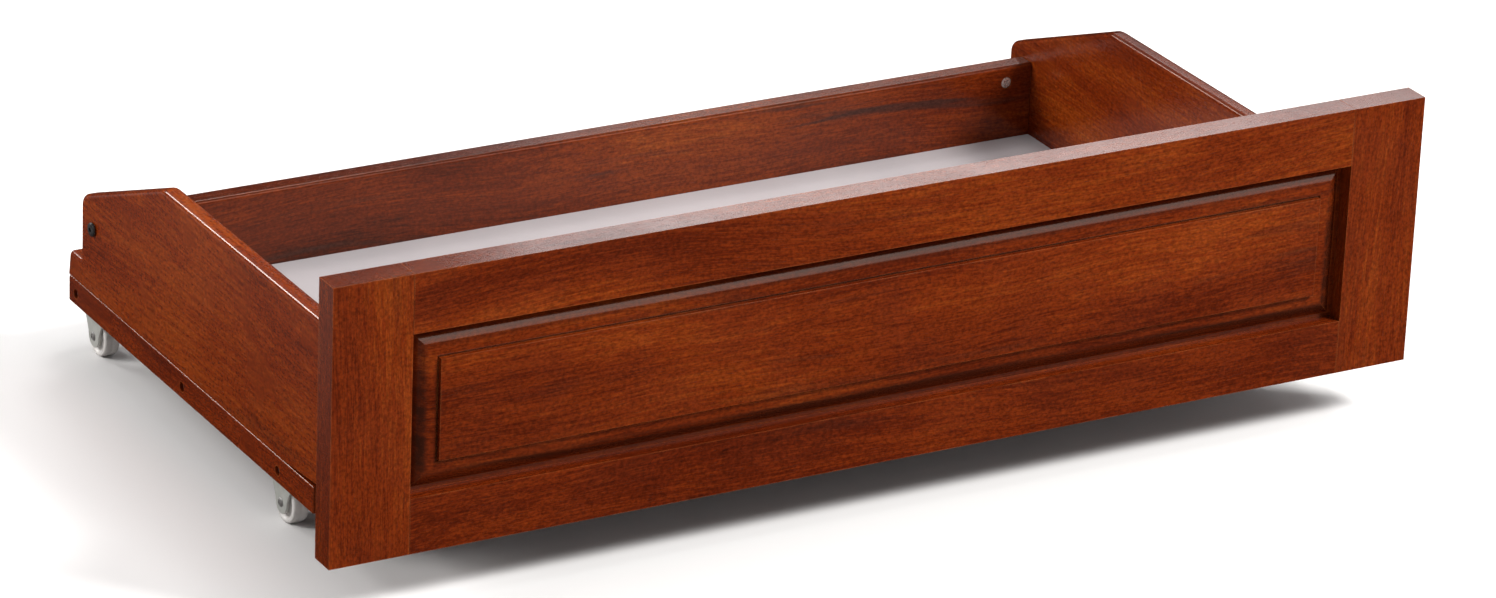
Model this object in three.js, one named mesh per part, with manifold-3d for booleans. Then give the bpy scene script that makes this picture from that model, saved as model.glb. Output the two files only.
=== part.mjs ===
// Rolling under-bed trundle box: a frame-and-panel front, two shaped side
// panels, a low back panel and a thin white bottom board, carried on a frame of
// two runner rails and three cross slats with four rigid casters.
// Millimetres, +Z up, +X along the width, the raised-panel front faces -Y.
// The origin is on the floor, under the middle of the box's plan outline.
import * as THREE from 'three';
import { mergeVertices } from 'three/addons/utils/BufferGeometryUtils.js';
import Module from 'manifold-3d';

const wasm = await Module();
wasm.setup();

// ---------------------------------------------------------------- dimensions
// Design coordinates: x from the front's left end, y from the front's face,
// z from the front's lower edge. They are moved to the part's frame at the end.
const GAP = 0.3;               // clearance between pieces that touch
const FRONT_W = 1016;          // front, width
const FRONT_H = 240;           // front, height
const FRONT_T = 25;            // front, thickness
const STILE_W = 70;            // front stile, width
const TOP_RAIL_H = 51;         // front top rail, height
const BOT_RAIL_H = 48;         // front bottom rail, height
const GROOVE_Y = 14.5;         // front side of the groove for the panel
const GROOVE_T = 4.6;          // groove width
const GROOVE_D = 9;            // groove depth
const FIELD_Y = 3;             // the raised field lies this far behind the face
const FIELD_STEP = 3.2;        // square shoulder round the field
const BORDER = 26.5;           // width of the moulded border
const TONGUE_FLAT = 3;         // flat part of the panel's edge before the groove
const PANEL_BACK_Y = 18.7;     // back of the raised panel

const SIDE_X = 40.3;           // outer face of the left side panel
const SIDE_T = 16;             // side panel, thickness
const SIDE_TOP = 165.5;        // side panel, height of the level top edge
const SIDE_APEX_Y = 403;       // where the top edge starts to slope down
const SIDE_REAR_Y = 567;       // rear edge of the side panel
const SIDE_REAR_Z = 99.5;      // height of the rear corner
const SIDE_TAB_Z = 40.5;       // top of the low tab behind the rear edge
const REAR_Y = 592;            // rear end of tab and runners
const SIDE_ROUND = 4.5;        // round-over on the upper edges

const BACK_Y = 527;            // front face of the back panel
const BACK_T = 20;             // back panel, thickness
const BACK_TOP = 93;           // back panel, top edge
const BACK_ROUND = 3.2;        // round-over on its top edge

const RUN_BOT = -6.8;          // runner rail, underside
const RUN_TOP = 17;            // runner rail, top
const RUN_W = 45;              // runner rail, width
const RUN_FRONT_Y = 112;       // runner rail, front end
const SLAT_Y = [178.5, 362, 577.5];   // cross slats, middle lines
const SLAT_W = [44, 44, 27];          // cross slats, widths
const SLAT_DROP = 4;           // cross slats are thinner than the runners
const BOARD_T = 6.4;           // bottom board, thickness
const BATTEN_H = 20;           // batten behind the front, height
const BATTEN_T = 20;           // batten behind the front, thickness

const WHEEL_R = 18.5;          // caster wheel, radius
const WHEEL_W = 14;            // caster wheel, width
const HUB_Z = -29;             // caster axle height
const AXLE_R = 2.4;            // caster axle, radius
const LEG_T = 2;               // caster fork leg, thickness
const LEG_X = 8;               // outer fork leg, distance in from the runner's face
const PLATE_T = 2.2;           // caster plate, thickness
const PLATE_L = 62;            // caster plate, length
const CASTER_Y = [187.5, 558.5];      // caster axles, front and rear

const BOLT_Y = BACK_Y + BACK_T / 2 + 4; // connector bolt into the back panel
const BOLT_Z = 77.5;
const NUT_INSET = 26;          // barrel nut, distance from the back panel's end
const CAM_INSET = 34;          // cam nut, distance from the side panel's front end
const CAM_Z = [62, 138];       // cam nuts, heights
const CAM_R = 7.5;

const SIDE_SCREW_Y = [250, 470];      // screws from the runner up into the side

const MID_X = FRONT_W / 2;
const MID_Y = REAR_Y / 2;
const FLOOR_Z = HUB_Z - WHEEL_R;      // the wheels stand here

// ---------------------------------------------------------------- helpers
const V2 = (x, y) => new THREE.Vector2(x, y);

// A closed mesh as a solid. Only the positions are kept.
function solid(geometry) {
  let g = geometry.index ? geometry.clone() : geometry.clone();
  g.deleteAttribute('normal');
  g.deleteAttribute('uv');
  g = mergeVertices(g, 1e-4);
  return new wasm.Manifold(new wasm.Mesh({
    numProp: 3,
    vertProperties: new Float32Array(g.attributes.position.array),
    triVerts: new Uint32Array(g.index.array),
  }));
}

function toGeometry(manifold) {
  const m = manifold.getMesh();
  const g = new THREE.BufferGeometry();
  const pos = new Float32Array(m.numVert * 3);
  for (let i = 0; i < m.numVert; i++) {
    for (let k = 0; k < 3; k++) pos[i * 3 + k] = m.vertProperties[i * m.numProp + k];
  }
  g.setAttribute('position', new THREE.BufferAttribute(pos, 3));
  g.setIndex(new THREE.BufferAttribute(new Uint32Array(m.triVerts), 1));
  g.computeVertexNormals();
  return g;
}

// Box from its lowest to its highest corner.
function box(x0, y0, z0, x1, y1, z1) {
  const g = new THREE.BoxGeometry(x1 - x0, y1 - y0, z1 - z0);
  g.translate((x0 + x1) / 2, (y0 + y1) / 2, (z0 + z1) / 2);
  return g;
}

// Cylinder of radius r from point a to point b along one of the axes.
function rod(axis, r, a, b, n = 16) {
  const d = new THREE.Vector3().subVectors(b, a);
  const g = new THREE.CylinderGeometry(r, r, d.length(), n);
  if (axis === 'x') g.rotateZ(Math.PI / 2);
  if (axis === 'z') g.rotateX(Math.PI / 2);
  g.translate((a.x + b.x) / 2, (a.y + b.y) / 2, (a.z + b.z) / 2);
  return g;
}
const P = (x, y, z) => new THREE.Vector3(x, y, z);

// Profile drawn in the (y, z) plane and pushed along +x from x0 by length.
function alongX(shape, x0, length, bevel = 0, segments = 3) {
  const g = new THREE.ExtrudeGeometry(shape, {
    depth: length - 2 * bevel,
    bevelEnabled: bevel > 0,
    bevelSize: bevel,
    bevelThickness: bevel,
    bevelOffset: -bevel,
    bevelSegments: segments,
    curveSegments: 6,
  });
  // shape x -> y, shape y -> z, extrusion z -> x
  const m = new THREE.Matrix4().set(
    0, 0, 1, x0 + bevel,
    1, 0, 0, 0,
    0, 1, 0, 0,
    0, 0, 0, 1,
  );
  g.applyMatrix4(m);
  return g;
}

// Polygon with rounded corners: points are [a, b, radius].
function rounded(points) {
  const s = new THREE.Shape();
  const n = points.length;
  for (let i = 0; i < n; i++) {
    const p = V2(points[i][0], points[i][1]);
    const a = V2(points[(i + n - 1) % n][0], points[(i + n - 1) % n][1]);
    const b = V2(points[(i + 1) % n][0], points[(i + 1) % n][1]);
    const r = points[i][2] || 0;
    if (r <= 0) {
      if (i === 0) s.moveTo(p.x, p.y); else s.lineTo(p.x, p.y);
      continue;
    }
    const da = a.clone().sub(p).normalize();
    const db = b.clone().sub(p).normalize();
    const half = Math.acos(THREE.MathUtils.clamp(da.dot(db), -1, 1)) / 2;
    const t = r / Math.tan(half);
    const c = p.clone().add(da.clone().add(db).normalize().multiplyScalar(r / Math.sin(half)));
    const p0 = p.clone().add(da.clone().multiplyScalar(t));
    const p1 = p.clone().add(db.clone().multiplyScalar(t));
    const steps = Math.max(2, Math.min(6, Math.round((Math.PI - 2 * half) / (Math.PI / 2) * 5)));
    const a0 = Math.atan2(p0.y - c.y, p0.x - c.x);
    let a1 = Math.atan2(p1.y - c.y, p1.x - c.x);
    if (a1 - a0 > Math.PI) a1 -= 2 * Math.PI;
    if (a1 - a0 < -Math.PI) a1 += 2 * Math.PI;
    for (let k = 0; k <= steps; k++) {
      const q = a0 + (a1 - a0) * k / steps;
      const x = c.x + r * Math.cos(q);
      const y = c.y + r * Math.sin(q);
      if (i === 0 && k === 0) s.moveTo(x, y); else s.lineTo(x, y);
    }
  }
  s.closePath();
  return s;
}

const group = new THREE.Group();
function add(name, geometry, colour, roughness, metalness = 0) {
  const mesh = new THREE.Mesh(geometry, new THREE.MeshStandardMaterial({
    color: new THREE.Color(colour), roughness, metalness,
  }));
  mesh.name = name;
  mesh.position.set(-MID_X, -MID_Y, -FLOOR_Z);
  group.add(mesh);
  return mesh;
}
// The same solid on the other side of the box's middle plane.
function mirrored(manifold) {
  return manifold.mirror([1, 0, 0]).translate([FRONT_W, 0, 0]);
}

const CHERRY = '#7e2c10';
const CHERRY_DARK = '#5c1f10';
const WHITE_BOARD = '#d9d3d8';
const CASTER_GREY = '#c9c8c4';
const WHEEL_WHITE = '#dcdad5';
const STEEL = '#8d8b88';
const BLACK_STEEL = '#2a2625';
const NICKEL = '#b5b3ae';

// ---------------------------------------------------------------- front
const groove0 = GROOVE_Y, groove1 = GROOVE_Y + GROOVE_T;
const tongue0 = groove0 + GAP, tongue1 = groove1 - GAP;

// stiles, with a stopped groove on the inner edge and sockets for the studs
let stile = solid(box(0, 0, 0, STILE_W, FRONT_T, FRONT_H));
stile = stile.subtract(solid(box(STILE_W - GROOVE_D, groove0, 9, STILE_W + 1, groove1, FRONT_H - 9)));
const studX = SIDE_X + SIDE_T / 2;
for (const z of CAM_Z) {
  stile = stile.subtract(solid(rod('y', 3.4, P(studX, 13, z), P(studX, FRONT_T + 1, z), 12)));
}
add('front_left_stile', toGeometry(stile), CHERRY, 0.35);
add('front_right_stile', toGeometry(mirrored(stile)), CHERRY, 0.35);

// rails, with a groove along the inner edge and a stub tongue on each end
function frontRail(z0, z1, grooveUp) {
  const x0 = STILE_W + GAP, x1 = FRONT_W - STILE_W - GAP;
  let r = solid(box(x0, 0, z0, x1, FRONT_T, z1));
  const g0 = grooveUp ? z1 - GROOVE_D : z0 - 1;
  const g1 = grooveUp ? z1 + 1 : z0 + GROOVE_D;
  r = r.subtract(solid(box(x0 - 1, groove0, g0, x1 + 1, groove1, g1)));
  const t0 = grooveUp ? 9 + GAP : z0 + GROOVE_D;
  const t1 = grooveUp ? z1 - GROOVE_D : FRONT_H - 9 - GAP;
  const reach = GROOVE_D - 1;
  r = r.add(solid(box(x0 - reach, tongue0, t0, x0 + 2, tongue1, t1)));
  r = r.add(solid(box(x1 - 2, tongue0, t0, x1 + reach, tongue1, t1)));
  return r;
}
add('front_top_rail', toGeometry(frontRail(FRONT_H - TOP_RAIL_H, FRONT_H, false)), CHERRY, 0.35);
add('front_bottom_rail', toGeometry(frontRail(0, BOT_RAIL_H, true)), CHERRY, 0.35);

// raised panel: the same edge profile worked on all four sides, mitred where
// the two runs meet. d is the distance from the frame's inner edge.
function panelEdge() {
  const pts = [];
  pts.push([BORDER, FIELD_Y]);
  pts.push([BORDER, FIELD_Y + FIELD_STEP]);
  // a slow fall from the shoulder, then a quick roll over to the thin edge
  pts.push([19, 6.6], [14, 7.3], [10.5, 8.2], [8.3, 9.4], [6.6, 11.1], [5.2, 12.9], [4.2, 14.0]);
  pts.push([TONGUE_FLAT, tongue0]);
  pts.push([-(GROOVE_D - 1), tongue0]);
  pts.push([-(GROOVE_D - 1), PANEL_BACK_Y]);
  return pts;
}
function panelSection(lo, hi) {
  const e = panelEdge();
  const s = new THREE.Shape();
  // left run outwards in, then the right run mirrored
  s.moveTo(lo + e[e.length - 1][0], e[e.length - 1][1]);
  for (let i = e.length - 2; i >= 0; i--) s.lineTo(lo + e[i][0], e[i][1]);
  for (let i = 0; i < e.length; i++) s.lineTo(hi - e[i][0], e[i][1]);
  s.closePath();
  return s;
}
const openX0 = STILE_W, openX1 = FRONT_W - STILE_W;
const openZ0 = BOT_RAIL_H, openZ1 = FRONT_H - TOP_RAIL_H;
// section across the width (x, y) pushed along z
const across = new THREE.ExtrudeGeometry(panelSection(openX0, openX1), { depth: FRONT_H, bevelEnabled: false });
// section over the height (z, y) pushed along x
const upright = new THREE.ExtrudeGeometry(panelSection(openZ0, openZ1), { depth: FRONT_W, bevelEnabled: false });
upright.applyMatrix4(new THREE.Matrix4().set(
  0, 0, -1, FRONT_W,
  0, 1, 0, 0,
  1, 0, 0, 0,
  0, 0, 0, 1,
));
const raised = solid(across).intersect(solid(upright));
add('front_raised_panel', toGeometry(raised), CHERRY, 0.3);

// batten behind the bottom rail that carries the board's front edge
const backFaceY = FRONT_T + GAP;
add('front_batten', toGeometry(solid(box(SIDE_X + SIDE_T + 4, backFaceY, RUN_TOP - BATTEN_H,
  FRONT_W - SIDE_X - SIDE_T - 4, backFaceY + BATTEN_T, RUN_TOP))), CHERRY_DARK, 0.6);

// ---------------------------------------------------------------- side panels
function sidePanel() {
  // drawn 20 mm too long at the front and the bottom, where it is then cut
  // square, so that only the upper and rear edges are rounded over
  const outline = rounded([
    [backFaceY - 20, RUN_TOP - 20],
    [REAR_Y, RUN_TOP - 20],
    [REAR_Y, SIDE_TAB_Z, 6],
    [SIDE_REAR_Y, SIDE_TAB_Z, 1.5],
    [SIDE_REAR_Y, SIDE_REAR_Z, 13],
    [SIDE_APEX_Y, SIDE_TOP, 22],
    [backFaceY - 20, SIDE_TOP],
  ]);
  let s = solid(alongX(outline, SIDE_X, SIDE_T, SIDE_ROUND, 3));
  s = s.intersect(solid(box(0, backFaceY, RUN_TOP + GAP, 100, REAR_Y + 10, FRONT_H)));
  // shallow relief along the bottom near the runner's front end
  const relief = rounded([
    [backFaceY - 5, RUN_TOP - 3],
    [172, RUN_TOP - 3],
    [172, RUN_TOP + GAP],
    [108, RUN_TOP + 4.6],
    [backFaceY - 5, RUN_TOP + 4.6],
  ]);
  s = s.subtract(solid(alongX(relief, SIDE_X - 5, SIDE_T + 10)));
  // hole for the connector bolt, with a seat for its head
  s = s.subtract(solid(rod('x', 3.5, P(SIDE_X - 1, BOLT_Y, BOLT_Z), P(SIDE_X + SIDE_T + 1, BOLT_Y, BOLT_Z), 16)));
  // pilot holes for the screws that come up through the runner
  for (const y of SIDE_SCREW_Y) {
    s = s.subtract(solid(rod('z', 2.3, P(studX, y, RUN_TOP - 1), P(studX, y, RUN_TOP + 16), 8)));
  }
  // cam pockets in the inner face and stud holes in the front end
  for (const z of CAM_Z) {
    const cy = backFaceY + CAM_INSET;
    s = s.subtract(solid(rod('x', CAM_R + 0.3, P(SIDE_X + 3.2, cy, z), P(SIDE_X + SIDE_T + 1, cy, z), 18)));
    s = s.subtract(solid(rod('y', 3.4, P(studX, backFaceY - 1, z), P(studX, cy, z), 12)));
  }
  return s;
}
const side = sidePanel();
add('left_side_panel', toGeometry(side), CHERRY, 0.35);
add('right_side_panel', toGeometry(mirrored(side)), CHERRY, 0.35);

// ---------------------------------------------------------------- back panel
const innerX0 = SIDE_X + SIDE_T + GAP, innerX1 = FRONT_W - SIDE_X - SIDE_T - GAP;
const backShape = rounded([
  [BACK_Y, RUN_TOP + GAP],
  [BACK_Y + BACK_T, RUN_TOP + GAP],
  [BACK_Y + BACK_T, BACK_TOP, BACK_ROUND],
  [BACK_Y, BACK_TOP, BACK_ROUND],
]);
let back = solid(alongX(backShape, innerX0, innerX1 - innerX0));
for (const m of [0, 1]) {
  const end = m ? innerX1 : innerX0;
  const dir = m ? -1 : 1;
  const nutX = end + dir * NUT_INSET;
  back = back.subtract(solid(rod('x', 3.5, P(Math.min(end - dir, end + dir * 38), BOLT_Y, BOLT_Z),
    P(Math.max(end - dir, end + dir * 38), BOLT_Y, BOLT_Z), 16)));
  back = back.subtract(solid(rod('y', 5.4, P(nutX, BACK_Y - 1, BOLT_Z), P(nutX, BACK_Y + 18.6, BOLT_Z), 20)));
}
add('back_panel', toGeometry(back), CHERRY_DARK, 0.35);

// ---------------------------------------------------------------- bottom board
add('bottom_board', toGeometry(solid(box(innerX0, backFaceY, RUN_TOP + GAP, innerX1,
  BACK_Y - GAP, RUN_TOP + GAP + BOARD_T))), WHITE_BOARD, 0.55);

// ---------------------------------------------------------------- runners
const screwZ = 4;
function runner() {
  const outline = rounded([
    [RUN_FRONT_Y, RUN_BOT, 1.5],
    [REAR_Y, RUN_BOT, 4],
    [REAR_Y, RUN_TOP, 1.2],
    [RUN_FRONT_Y, RUN_TOP, 1.2],
  ]);
  let r = solid(alongX(outline, SIDE_X, RUN_W, 1, 2));
  for (const y of SLAT_Y) {
    r = r.subtract(solid(rod('x', 4.3, P(SIDE_X - 1, y, screwZ), P(SIDE_X + 6, y, screwZ), 14)));
    r = r.subtract(solid(rod('x', 2.4, P(SIDE_X + 5, y, screwZ), P(SIDE_X + RUN_W + 1, y, screwZ), 8)));
  }
  for (const y of CASTER_Y) {
    for (const dy of [-25, 25]) {
      r = r.subtract(solid(rod('z', 2.1, P(casterX, y + dy, RUN_BOT - 1), P(casterX, y + dy, RUN_BOT + 16), 8)));
    }
  }
  for (const y of SIDE_SCREW_Y) {
    r = r.subtract(solid(rod('z', 5, P(studX, y, RUN_BOT - 1), P(studX, y, RUN_BOT + 6), 12)));
    r = r.subtract(solid(rod('z', 2.4, P(studX, y, RUN_BOT + 5), P(studX, y, RUN_TOP + 1), 8)));
  }
  return r;
}
const casterX = SIDE_X + LEG_X + LEG_T + 0.8 + WHEEL_W / 2;
const run = runner();
add('left_runner_rail', toGeometry(run), CHERRY, 0.4);
add('right_runner_rail', toGeometry(mirrored(run)), CHERRY, 0.4);

// cross slats between the runners
const slatNames = ['front_cross_slat', 'middle_cross_slat', 'rear_cross_slat'];
SLAT_Y.forEach((y, i) => {
  const x0 = SIDE_X + RUN_W + GAP, x1 = FRONT_W - SIDE_X - RUN_W - GAP;
  let s = solid(box(x0, y - SLAT_W[i] / 2, RUN_BOT + SLAT_DROP, x1, y + SLAT_W[i] / 2, RUN_TOP));
  s = s.subtract(solid(rod('x', 2.3, P(x0 - 1, y, screwZ), P(x0 + 26, y, screwZ), 10)));
  s = s.subtract(solid(rod('x', 2.3, P(x1 - 26, y, screwZ), P(x1 + 1, y, screwZ), 10)));
  add(slatNames[i], toGeometry(s), CHERRY_DARK, 0.6);
});

// ---------------------------------------------------------------- fasteners
// A screw lying along +x with its head's outer face at x = 0.
function screwX(headR, headT, shankR, length, slot = true) {
  const pts = [
    V2(0, 0), V2(headR * 0.82, 0), V2(headR, headT * 0.35), V2(headR, headT), V2(shankR, headT + 0.8),
    V2(shankR, length - 2.5), V2(0, length),
  ];
  const lathe = new THREE.LatheGeometry(pts, 12);
  // the lathe turns about y with the head at y = 0: turn y into x
  lathe.applyMatrix4(new THREE.Matrix4().set(
    0, 1, 0, 0,
    1, 0, 0, 0,
    0, 0, -1, 0,
    0, 0, 0, 1,
  ));
  let m = solid(lathe);
  if (m.volume() < 0) throw new Error('screw faces in');
  if (slot) {
    const w = headR * 0.14, h = headR * 0.62;
    m = m.subtract(solid(box(-1, -w, -h, headT * 0.62, w, h)));
    m = m.subtract(solid(box(-1, -h, -w, headT * 0.62, h, w)));
  }
  return m;
}
const runnerScrew = screwX(3.9, 2.4, 1.95, 56);
const sideOf = ['left', 'right'];
['front', 'middle', 'rear'].forEach((where, i) => {
  const s = runnerScrew.translate([SIDE_X + 2.5, SLAT_Y[i], screwZ]);
  add(`left_${where}_runner_screw`, toGeometry(s), BLACK_STEEL, 0.4, 0.8);
  add(`right_${where}_runner_screw`, toGeometry(mirrored(s)), BLACK_STEEL, 0.4, 0.8);
});

// connector bolts through the side panels into barrel nuts in the back panel
const boltHead = 2.4;
const backBolt = screwX(6.6, boltHead, 3.0, 52).translate([SIDE_X - boltHead - 0.8 - GAP, BOLT_Y, BOLT_Z]);
add('left_back_bolt', toGeometry(backBolt), BLACK_STEEL, 0.35, 0.8);
add('right_back_bolt', toGeometry(mirrored(backBolt)), BLACK_STEEL, 0.35, 0.8);
function barrelNut(x) {
  const pts = [V2(0, 0), V2(4.4, 0), V2(5, 0.6), V2(5, 17.4), V2(4.4, 18), V2(0, 18)];
  const lathe = new THREE.LatheGeometry(pts, 18);
  let m = solid(lathe);
  m = m.translate([x, BACK_Y + 0.2, BOLT_Z]);
  m = m.subtract(solid(rod('x', 3.35, P(x - 8, BOLT_Y, BOLT_Z), P(x + 8, BOLT_Y, BOLT_Z), 14)));
  m = m.subtract(solid(box(x - 0.7, BACK_Y - 1, BOLT_Z - 4, x + 0.7, BACK_Y + 1.6, BOLT_Z + 4)));
  return m;
}
add('left_back_barrel_nut', toGeometry(barrelNut(innerX0 + NUT_INSET)), NICKEL, 0.3, 0.9);
add('right_back_barrel_nut', toGeometry(barrelNut(innerX1 - NUT_INSET)), NICKEL, 0.3, 0.9);

// studs in the front stiles, drawn in by cam nuts set in the side panels
function stud(x, z) {
  const pts = [V2(0, 0), V2(2.6, 0), V2(3, 0.8), V2(3, 30), V2(1.8, 31), V2(1.8, 36), V2(2.9, 37), V2(2.9, 40), V2(0, 40)];
  return solid(new THREE.LatheGeometry(pts, 12)).translate([x, FRONT_T - 11.6, z]);
}
function camNut(z) {
  const cy = backFaceY + CAM_INSET;
  const x0 = SIDE_X + 3.6, x1 = SIDE_X + SIDE_T - 0.2;
  let m = solid(rod('x', CAM_R, P(x0, cy, z), P(x1, cy, z), 18));
  m = m.subtract(solid(rod('y', 3.5, P(studX, cy - CAM_R - 1, z), P(studX, cy + 0.5, z), 14)));
  m = m.subtract(solid(box(x1 - 1.6, cy - 4.5, z - 0.8, x1 + 1, cy + 4.5, z + 0.8)));
  m = m.subtract(solid(box(x1 - 1.6, cy - 0.8, z - 4.5, x1 + 1, cy + 0.8, z + 4.5)));
  return m;
}
['lower', 'upper'].forEach((where, i) => {
  const s = stud(studX, CAM_Z[i]);
  const c = camNut(CAM_Z[i]);
  add(`left_${where}_front_stud`, toGeometry(s), STEEL, 0.4, 0.9);
  add(`right_${where}_front_stud`, toGeometry(mirrored(s)), STEEL, 0.4, 0.9);
  add(`left_${where}_cam_nut`, toGeometry(c), NICKEL, 0.35, 0.9);
  add(`right_${where}_cam_nut`, toGeometry(mirrored(c)), NICKEL, 0.35, 0.9);
});

// ---------------------------------------------------------------- casters
// Rigid fork under the runner: plate and two tapering legs with round ends.
function forkLeg(x0) {
  const top = RUN_BOT - GAP - PLATE_T / 2;
  const wTop = 18, wHub = 11, r = 10;
  const s = new THREE.Shape();
  s.moveTo(-wTop, top);
  s.lineTo(-wTop, top - 5);
  s.quadraticCurveTo(-wHub - 1.5, HUB_Z + 9, -r, HUB_Z);
  s.absarc(0, HUB_Z, r, Math.PI, 2 * Math.PI, false);
  s.quadraticCurveTo(wHub + 1.5, HUB_Z + 9, wTop, top - 5);
  s.lineTo(wTop, top);
  s.closePath();
  return solid(alongX(s, x0, LEG_T));
}
function casterBracket() {
  const x0 = SIDE_X + LEG_X;
  const x1 = x0 + LEG_T + 0.8 + WHEEL_W + 0.8;
  const top = RUN_BOT - GAP;
  const plate = rounded([
    [-PLATE_L / 2, top - PLATE_T], [PLATE_L / 2, top - PLATE_T], [PLATE_L / 2, top], [-PLATE_L / 2, top],
  ]);
  let m = solid(alongX(plate, x0 - 1.5, x1 + LEG_T - x0 + 3));
  m = m.add(forkLeg(x0)).add(forkLeg(x1));
  m = m.subtract(solid(rod('x', AXLE_R + 0.3, P(x0 - 1, 0, HUB_Z), P(x1 + LEG_T + 1, 0, HUB_Z), 16)));
  for (const dy of [-25, 25]) {
    m = m.subtract(solid(rod('z', 2.2, P(casterX, dy, top - PLATE_T - 1), P(casterX, dy, top + 1), 10)));
  }
  return m;
}
function casterWheel() {
  const h = WHEEL_W / 2;
  const b = AXLE_R + 0.35;
  const prof = [
    [b, -h + 0.2], [6.8, -h + 0.2], [7.6, -h + 1.6], [14.2, -h + 1.6], [15.2, -h],
    [17.4, -h], [WHEEL_R, -h + 1.6], [WHEEL_R, h - 1.6], [17.4, h],
    [15.2, h], [14.2, h - 1.6], [7.6, h - 1.6], [6.8, h - 0.2], [b, h - 0.2],
  ];
  const pts = prof.map(([r, y]) => V2(r, y));
  pts.push(pts[0].clone());
  const g = new THREE.LatheGeometry(pts, 26);
  g.rotateZ(-Math.PI / 2);
  return solid(g);
}
function casterAxle() {
  const len = 2 * LEG_T + 1.6 + WHEEL_W;
  const e = 0.25;
  const prof = [
    [0, -1.9], [2.2, -1.7], [3.7, -0.9], [4.1, 0 - e], [AXLE_R, -e], [AXLE_R, len + e],
    [3.9, len + e], [3.9, len + e + 1.2], [0, len + e + 1.2],
  ];
  const g = new THREE.LatheGeometry(prof.map(([r, y]) => V2(r, y)), 14);
  g.applyMatrix4(new THREE.Matrix4().set(
    0, 1, 0, 0,
    1, 0, 0, 0,
    0, 0, -1, 0,
    0, 0, 0, 1,
  ));
  return solid(g);
}
function plateScrew() {
  const pts = [V2(0, 0), V2(2.6, 0.1), V2(3.5, 1.1), V2(3.5, 1.7), V2(1.8, 1.7), V2(1.8, 15), V2(0, 17.5)];
  let m = solid(new THREE.LatheGeometry(pts, 12)).rotate([90, 0, 0]);
  return m;
}
const bracket = casterBracket();
const wheel = casterWheel();
const axle = casterAxle();
const pScrew = plateScrew();
['front', 'rear'].forEach((where, i) => {
  const y = CASTER_Y[i];
  const b = bracket.translate([0, y, 0]);
  const w = wheel.translate([casterX, y, HUB_Z]);
  const a = axle.translate([SIDE_X + LEG_X, y, HUB_Z]);
  add(`${where}_left_caster_bracket`, toGeometry(b), CASTER_GREY, 0.4);
  add(`${where}_right_caster_bracket`, toGeometry(mirrored(b)), CASTER_GREY, 0.4);
  add(`${where}_left_caster_wheel`, toGeometry(w), WHEEL_WHITE, 0.35);
  add(`${where}_right_caster_wheel`, toGeometry(mirrored(w)), WHEEL_WHITE, 0.35);
  add(`${where}_left_caster_axle`, toGeometry(a), STEEL, 0.3, 0.9);
  add(`${where}_right_caster_axle`, toGeometry(mirrored(a)), STEEL, 0.3, 0.9);
  for (const [k, dy] of [['a', -25], ['b', 25]]) {
    const s = pScrew.translate([casterX, y + dy, RUN_BOT - GAP - PLATE_T - 1.7 - GAP]);
    add(`${where}_left_plate_screw_${k}`, toGeometry(s), STEEL, 0.4, 0.9);
    add(`${where}_right_plate_screw_${k}`, toGeometry(mirrored(s)), STEEL, 0.4, 0.9);
  }
});

// long screws up through each runner into the side panel's lower edge
function upScrew(y) {
  const pts = [V2(0, 0), V2(3.4, 0.1), V2(4.2, 1.2), V2(4.2, 2.2), V2(2.0, 3.0), V2(2.0, 33), V2(0, 36)];
  return solid(new THREE.LatheGeometry(pts, 12)).rotate([90, 0, 0]).translate([studX, y, RUN_BOT + 2.4]);
}
['front', 'rear'].forEach((where, i) => {
  const s = upScrew(SIDE_SCREW_Y[i]);
  add(`left_${where}_side_screw`, toGeometry(s), STEEL, 0.4, 0.9);
  add(`right_${where}_side_screw`, toGeometry(mirrored(s)), STEEL, 0.4, 0.9);
});

export default group;
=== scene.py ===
import math
import bpy
import bmesh
from mathutils import Matrix, Vector


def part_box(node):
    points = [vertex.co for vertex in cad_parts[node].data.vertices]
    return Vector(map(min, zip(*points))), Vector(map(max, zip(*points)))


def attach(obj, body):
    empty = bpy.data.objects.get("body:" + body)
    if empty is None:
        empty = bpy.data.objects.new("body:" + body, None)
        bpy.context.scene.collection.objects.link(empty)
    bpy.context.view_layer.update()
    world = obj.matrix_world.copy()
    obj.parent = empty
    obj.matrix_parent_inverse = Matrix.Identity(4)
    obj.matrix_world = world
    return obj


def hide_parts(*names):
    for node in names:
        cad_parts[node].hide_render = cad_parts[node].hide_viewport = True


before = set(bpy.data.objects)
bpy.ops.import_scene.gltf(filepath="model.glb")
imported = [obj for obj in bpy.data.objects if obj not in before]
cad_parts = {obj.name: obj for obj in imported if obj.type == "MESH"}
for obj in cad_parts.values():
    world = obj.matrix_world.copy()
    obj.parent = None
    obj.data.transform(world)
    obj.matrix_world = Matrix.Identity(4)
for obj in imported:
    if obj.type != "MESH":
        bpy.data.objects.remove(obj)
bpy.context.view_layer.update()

ROOT = "trundle"
MM = 0.001

# --------------------------------------------------------------------------
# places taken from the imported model, in metres
# --------------------------------------------------------------------------
def lohi(node):
    lo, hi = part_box(node)
    return lo, hi

front_lo = Vector((lohi("front_left_stile")[0].x, lohi("front_left_stile")[0].y, lohi("front_left_stile")[0].z))
front_hi = lohi("front_right_stile")[1]
# design point (x from the front's left end, y from its face, z from its lower edge), in mm
def D(x, y, z):
    return Vector((front_lo.x + x * MM, front_lo.y + y * MM, front_lo.z + z * MM))

W_MM = (front_hi.x - front_lo.x) / MM
side_lo, side_hi = lohi("left_side_panel")
back_lo, back_hi = lohi("back_panel")
run_lo, run_hi = lohi("left_runner_rail")

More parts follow.
